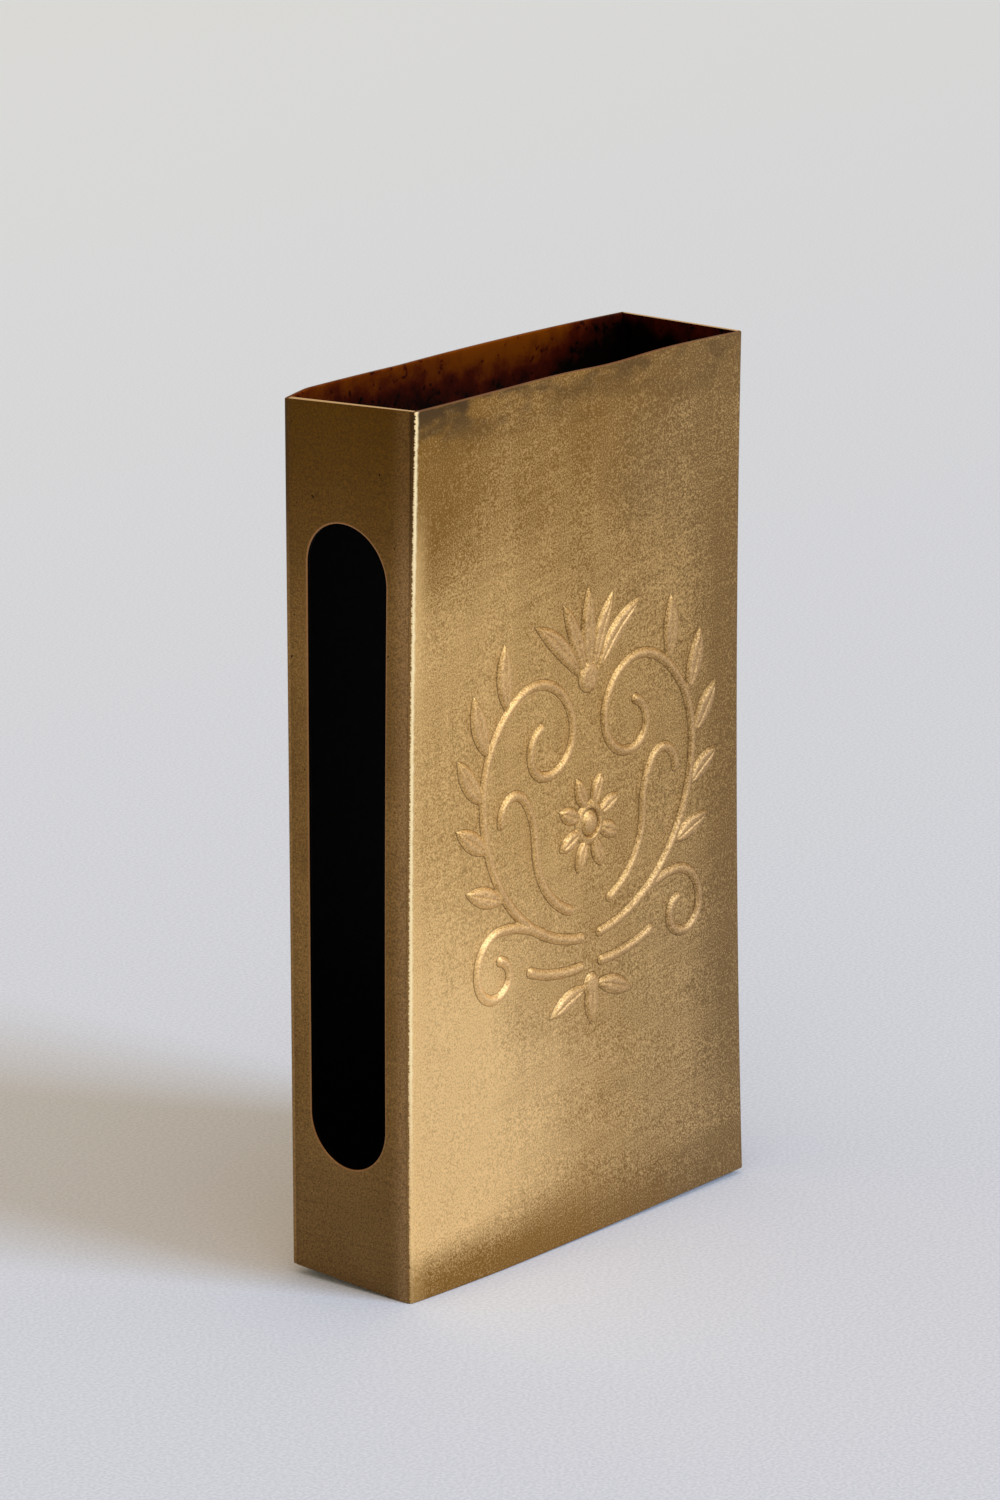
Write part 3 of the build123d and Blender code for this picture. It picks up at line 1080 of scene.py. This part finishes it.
def strip_tone(tree, place, clouds, lines):
    """Cloudy brown brass, browner at the top and greyer at the foot, with a painted highlight
    beside the near edge and a darker band at the far one.
    """
    _, y, z = axes(tree, place)
    edge_y = depth / 2 / mm
    colour = mix(tree, fade(tree, clouds, 0.3, 0.7), strip_gold, strip_brown)
    colour = mix(tree, fade(tree, z, 78.0, 112.0, 0.0, 0.9), colour, strip_top)
    colour = mix(tree, fade(tree, z, 26.0, 8.0, 0.0, 0.6), colour, strip_foot)
    colour = mix(tree, fade(tree, lines, 0.35, 0.7, 0.0, 0.16), colour, brush_dark)
    # Painted highlight beside the near edge, where its rounding would catch the light.
    near = fade(tree, y, -edge_y + 4.2, -edge_y + 1.6, 0.0, 0.42)
    near = times(tree, near, fade(tree, z, 104.0, 88.0, 0.3, 1.0))
    colour = mix(tree, near, colour, near_edge_highlight)
    far = fade(tree, y, edge_y - 1.7, edge_y - 0.7, 0.0, 0.15)
    return mix(tree, far, colour, far_brown)


def brushed_brass(name):
    """Brown brushed brass: fine lines across the strip, dark pits and a coppery window lip."""
    material, tree, shader, place = start_finish(name)
    _, y, z = axes(tree, place)
    lines = noise(tree, place, 2.2, 3.0, (1, 0.05, 1.2))
    clouds = noise(tree, place, 0.07, 4.0)
    colour = strip_tone(tree, place, clouds, lines)
    speckle = wheel_grain(tree, place, (1, 0.8, 1))
    colour = mix(tree, fade(tree, speckle, 0.3, 0.7, 0.0, 0.66), colour, strip_speck)
    pits = fade(tree, noise(tree, place, 1.7, 1.0), 0.77, 0.80)
    colour = mix(tree, pits, colour, black_tarnish_and_shade)
    joint_y = (wall - depth / 2) / mm
    joint = times(tree, fade(tree, y, joint_y + 0.55, joint_y + 0.2),
                  fade(tree, z, 80.0, 96.0, 0.12, 0.8))
    colour = mix(tree, joint, colour, seam_brown)
    roughness = fade(tree, clouds, 0.3, 0.7, 0.36, 0.44)
    colour, roughness = tarnish_and_shade_inside(tree, place, colour, roughness)
    lip = times(tree, stored(tree, "lip"), fade(tree, z, 60.0, 95.0, 0.55, 0.85))
    colour = mix(tree, lip, colour, copper_lip)
    colour = mix(tree, stored(tree, "rim"), colour, rim_gold)
    grain = plus(tree, speckle, times(tree, lines, 0.4))
    finish_surface(tree, shader, colour, roughness, grain, 0.6)
    return material


strip_finish = brushed_brass("brushed_brass")
for piece in strips:
    piece.data.materials.append(strip_finish)
print("strips finished with", len(strip_finish.node_tree.nodes), "nodes")

# %% [markdown]
# ### Solder and ornament
#
# Solder stays duller and greyer than brass, and inside the sleeve it is painted black as
# shade. The ornament is the same brass as the plate, with a painted highlight on its worn crests,
# and dark at its foot, partly film where the cloth can't reach and partly painted shade in the
# crease. Ambient Occlusion could find that foot, but it is slow and darkens every other hollow
# too, so each point's height over the plate is stored as its lift instead.

# %% Finishes for solder and ornament
solder_dark = (0.05, 0.03, 0.016, 1)
solder_light = (0.11, 0.075, 0.04, 1)
peach_crest_highlight = (0.80, 0.54, 0.30, 1)


def old_solder(name):
    """Dull grey-gold solder with a grainy skin, painted black as shade below the rim."""
    material, tree, shader, place = start_finish(name)
    grain = noise(tree, place, 2.5, 4.0)
    _, _, z = axes(tree, place)
    colour = mix(tree, fade(tree, grain, 0.3, 0.7), solder_dark, solder_light)
    # Painted shade: the seam turns black below the rim, where it lies inside the sleeve.
    colour = mix(tree, fade(tree, z, rim_level, rim_level - 1.6), colour, black_tarnish_and_shade)
    finish_surface(tree, shader, colour, fade(tree, grain, 0.3, 0.7, 0.5, 0.7), grain, 0.5)
    return material


def ornament_brass(name):
    """Satin brass with a painted highlight on its crests over real wear, and brown patina and
    painted shade at its foot.
    """
    material, tree, shader, place = start_finish(name)
    lift = stored(tree, "lift")
    film_and_shade, x, z = film_and_shade_amount(tree, place)
    colour = film_and_painted_light_colour(tree, film_and_shade, x, z)
    # Painted highlight on the crests, over the wear there.
    colour = mix(tree, fade(tree, lift, 0.5, 1.0, 0.0, 0.25), colour, peach_crest_highlight)
    # Dark foot: patina in the crease and painted shade.
    colour = mix(tree, fade(tree, lift, 0.3, 0.0, 0.0, 0.75), colour, plum_stain_and_shade)
    roughness = fade(tree, lift, 0.0, 1.0, 0.54, 0.6)
    finish_surface(tree, shader, colour, roughness, wheel_grain(tree, place), 0.8)
    return material


solder_finish = old_solder("old_solder")
for piece in seams:
    piece.data.materials.append(solder_finish)
ornament_finish = ornament_brass("ornament_brass")
for piece in ornament:
    piece.data.materials.append(ornament_finish)
print("finished", len(seams), "seams and", len(ornament), "pieces of ornament")

# %% [markdown]
# ## Floor and light
#
# The sleeve stands on a plain pale floor that runs out of sight. Metal shows mostly what is
# around it. A photograph of a room wrapped round the scene could serve, but an even glow of a
# warm, dim grey is calmer. A wide cool lamp stands far off in front, a little to the right: it
# throws the long shadow back to the left, and its low angle makes the near edge gleam. A weak
# one overhead softens the shadow. The floor's colour is painted paler further back, as painted
# light like that on a sheet of paper that curves up behind a small object, and a little darker
# in front as painted shade.

# %% Floor
floor_half = 6.0
floor_dark = (0.69, 0.75, 0.83, 1)
floor_light = (0.83, 0.89, 0.97, 1)
painted_back_light = (0.90, 0.98, 1.0, 1)
grains_per_metre = 2200.0


def floor_finish():
    """Pale, slightly blue matt surface with a faint grain; painted light makes it paler towards the
    back, and painted shade a little darker in front.
    """
    material = bpy.data.materials.new("pale_floor")
    material.use_nodes = True
    tree = material.node_tree
    shader = tree.nodes["Principled BSDF"]
    spot = node(tree, "TexCoord", {}).outputs["Object"]
    inputs = {"Vector": spot, "Scale": grains_per_metre, "Detail": 2.0}
    grain = node(tree, "TexNoise", inputs).outputs["Fac"]
    tone = mix(tree, fade(tree, grain, 0.3, 0.7), floor_dark, floor_light)
    # Painted shade in front and painted light behind: a little darker in front, paler and bluer
    # further back.
    shaded_in_front = mix(tree, 0.12, tone, (0, 0, 0, 1))
    behind = mix(tree, 0.75, tone, painted_back_light)
    tone = mix(tree, fade(tree, axes(tree, spot)[1], -0.25, 0.9), shaded_in_front, behind)
    tree.links.new(tone, shader.inputs["Base Color"])
    shader.inputs["Roughness"].default_value = 0.9
    shader.inputs["Specular IOR Level"].default_value = 0.1
    return material


corners = np.array([[-1, -1, 0], [1, -1, 0], [1, 1, 0], [-1, 1, 0]]) * floor_half
floor_mesh = bpy.data.meshes.new("floor")
floor_mesh.from_pydata(corners.tolist(), [], [[0, 1, 2, 3]])
floor = bpy.data.objects.new("floor", floor_mesh)
floor.data.materials.append(floor_finish())
bpy.context.scene.collection.objects.link(floor)
print("floor is", 2 * floor_half, "m wide")

# %% Lamps and surroundings
room_glow = (1.0, 0.815, 0.59, 1)
glow_strength = 0.58


def lamp(name, azimuth, elevation, distance, size, watts, colour):
    """Square area lamp that looks at the sleeve's middle from an azimuth and an elevation."""
    a = radians(azimuth)
    e = radians(elevation)
    away = np.array([sin(a) * cos(e), -cos(a) * cos(e), sin(e)])
    side = np.cross([0, 0, 1], away)
    side /= np.linalg.norm(side)
    stand = np.eye(4)
    stand[:3, 0] = side
    stand[:3, 1] = np.cross(away, side)
    stand[:3, 2] = away
    stand[:3, 3] = away * distance + middle
    made = bpy.data.objects.new(name, bpy.data.lights.new(name, "AREA"))
    made.data.size = size
    made.data.energy = watts
    made.data.color = colour
    made.matrix_world = Matrix(stand.tolist())
    bpy.context.scene.collection.objects.link(made)
    print(name, "stands", distance, "m away")


lamp("window_light", 13, 30, 6.0, 2.2, 280, (0.61, 0.75, 1.0))
lamp("overhead_light", -51, 65, 2.5, 1.6, 9.7, (0.91, 0.86, 1.0))
world = bpy.data.worlds.new("surroundings")
world.use_nodes = True
world.node_tree.nodes["Background"].inputs["Color"].default_value = room_glow
world.node_tree.nodes["Background"].inputs["Strength"].default_value = glow_strength
bpy.context.scene.world = world
bpy.context.scene.view_settings.view_transform = "Standard"

# %% [markdown]
# ## The measured model's box
#
# The dressed sleeve must keep the measured model's size. Measuring it by eye would miss a
# tenth of a millimetre, so the model's box is worked out and printed.

# %% Print the model's box
print("model box mm", [[round(v / mm, 2) for v in c] for c in cad_box])
